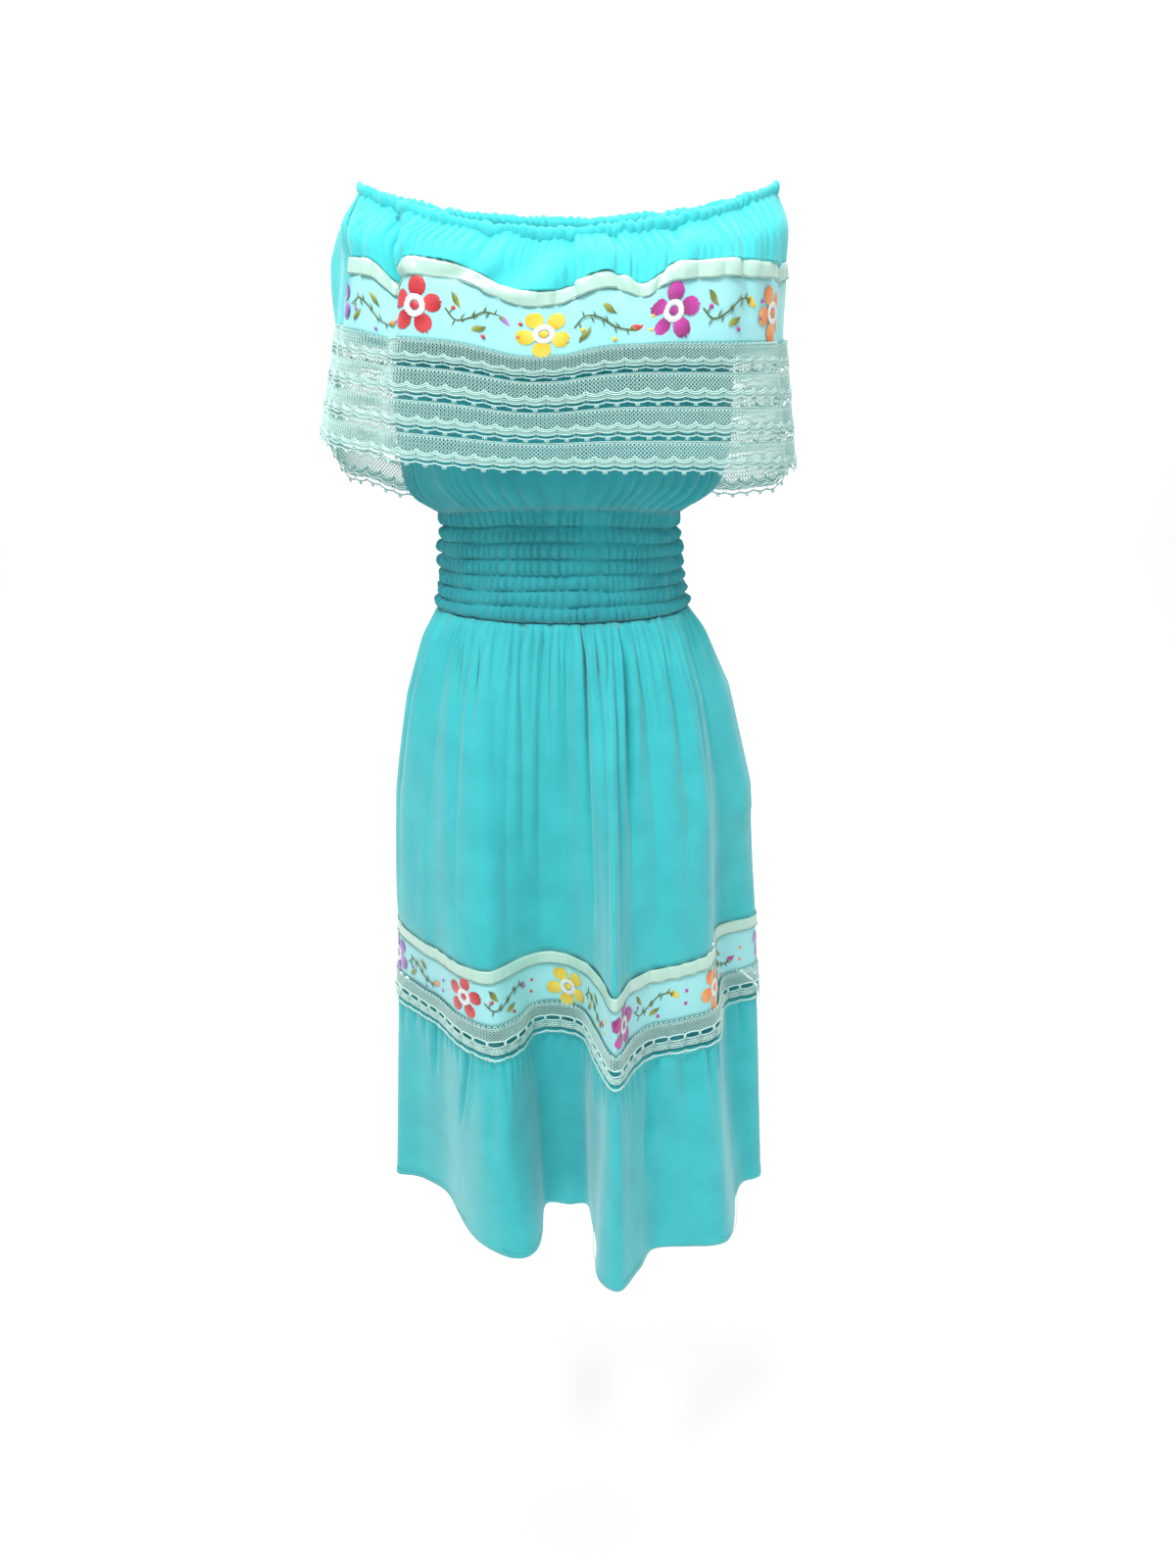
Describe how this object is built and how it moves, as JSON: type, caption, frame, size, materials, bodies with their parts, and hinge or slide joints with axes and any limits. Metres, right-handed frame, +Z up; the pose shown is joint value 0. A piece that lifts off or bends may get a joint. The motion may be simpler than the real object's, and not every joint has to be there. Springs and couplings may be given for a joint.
{
  "type": "peasant dress",
  "caption": "Off-the-shoulder peasant dress, worn and hollow, with a lace-edged flounce, shirred waist and ruffled midi skirt.",
  "frame": {"origin": "middle of the neck opening, level with the casing on the wearer's shoulders, where the dress is held up", "axes": "+Z up the wearer's body, -Y out of the front, +X to the viewer's right, the wearer's left"},
  "size_m": [0.4716, 0.3885, 1.0976],
  "materials": {
    "turquoise_cotton": "matte",
    "turquoise_shirring": "matte",
    "pale_aqua_embroidered": "matte",
    "mint_cotton_lace": "matte",
    "mint_satin_ribbon": "satin"
  },
  "bodies": {
    "root": {"neck_casing": "turquoise_cotton", "flounce_front": "turquoise_cotton", "flounce_back": "turquoise_cotton", "flounce_ribbon": "mint_satin_ribbon", "flounce_band": "pale_aqua_embroidered", "lace_tier_1": "mint_cotton_lace", "lace_tier_2": "mint_cotton_lace", "lace_tier_3": "mint_cotton_lace", "lace_tier_4": "mint_cotton_lace", "bodice_front": "turquoise_cotton", "bodice_back": "turquoise_cotton", "waist_front": "turquoise_shirring", "waist_back": "turquoise_shirring", "skirt_front": "turquoise_cotton", "skirt_back": "turquoise_cotton", "skirt_ribbon": "mint_satin_ribbon", "skirt_band": "pale_aqua_embroidered", "skirt_lace": "mint_cotton_lace", "ruffle_front": "turquoise_cotton", "ruffle_back": "turquoise_cotton"}
  },
  "joints": []
}
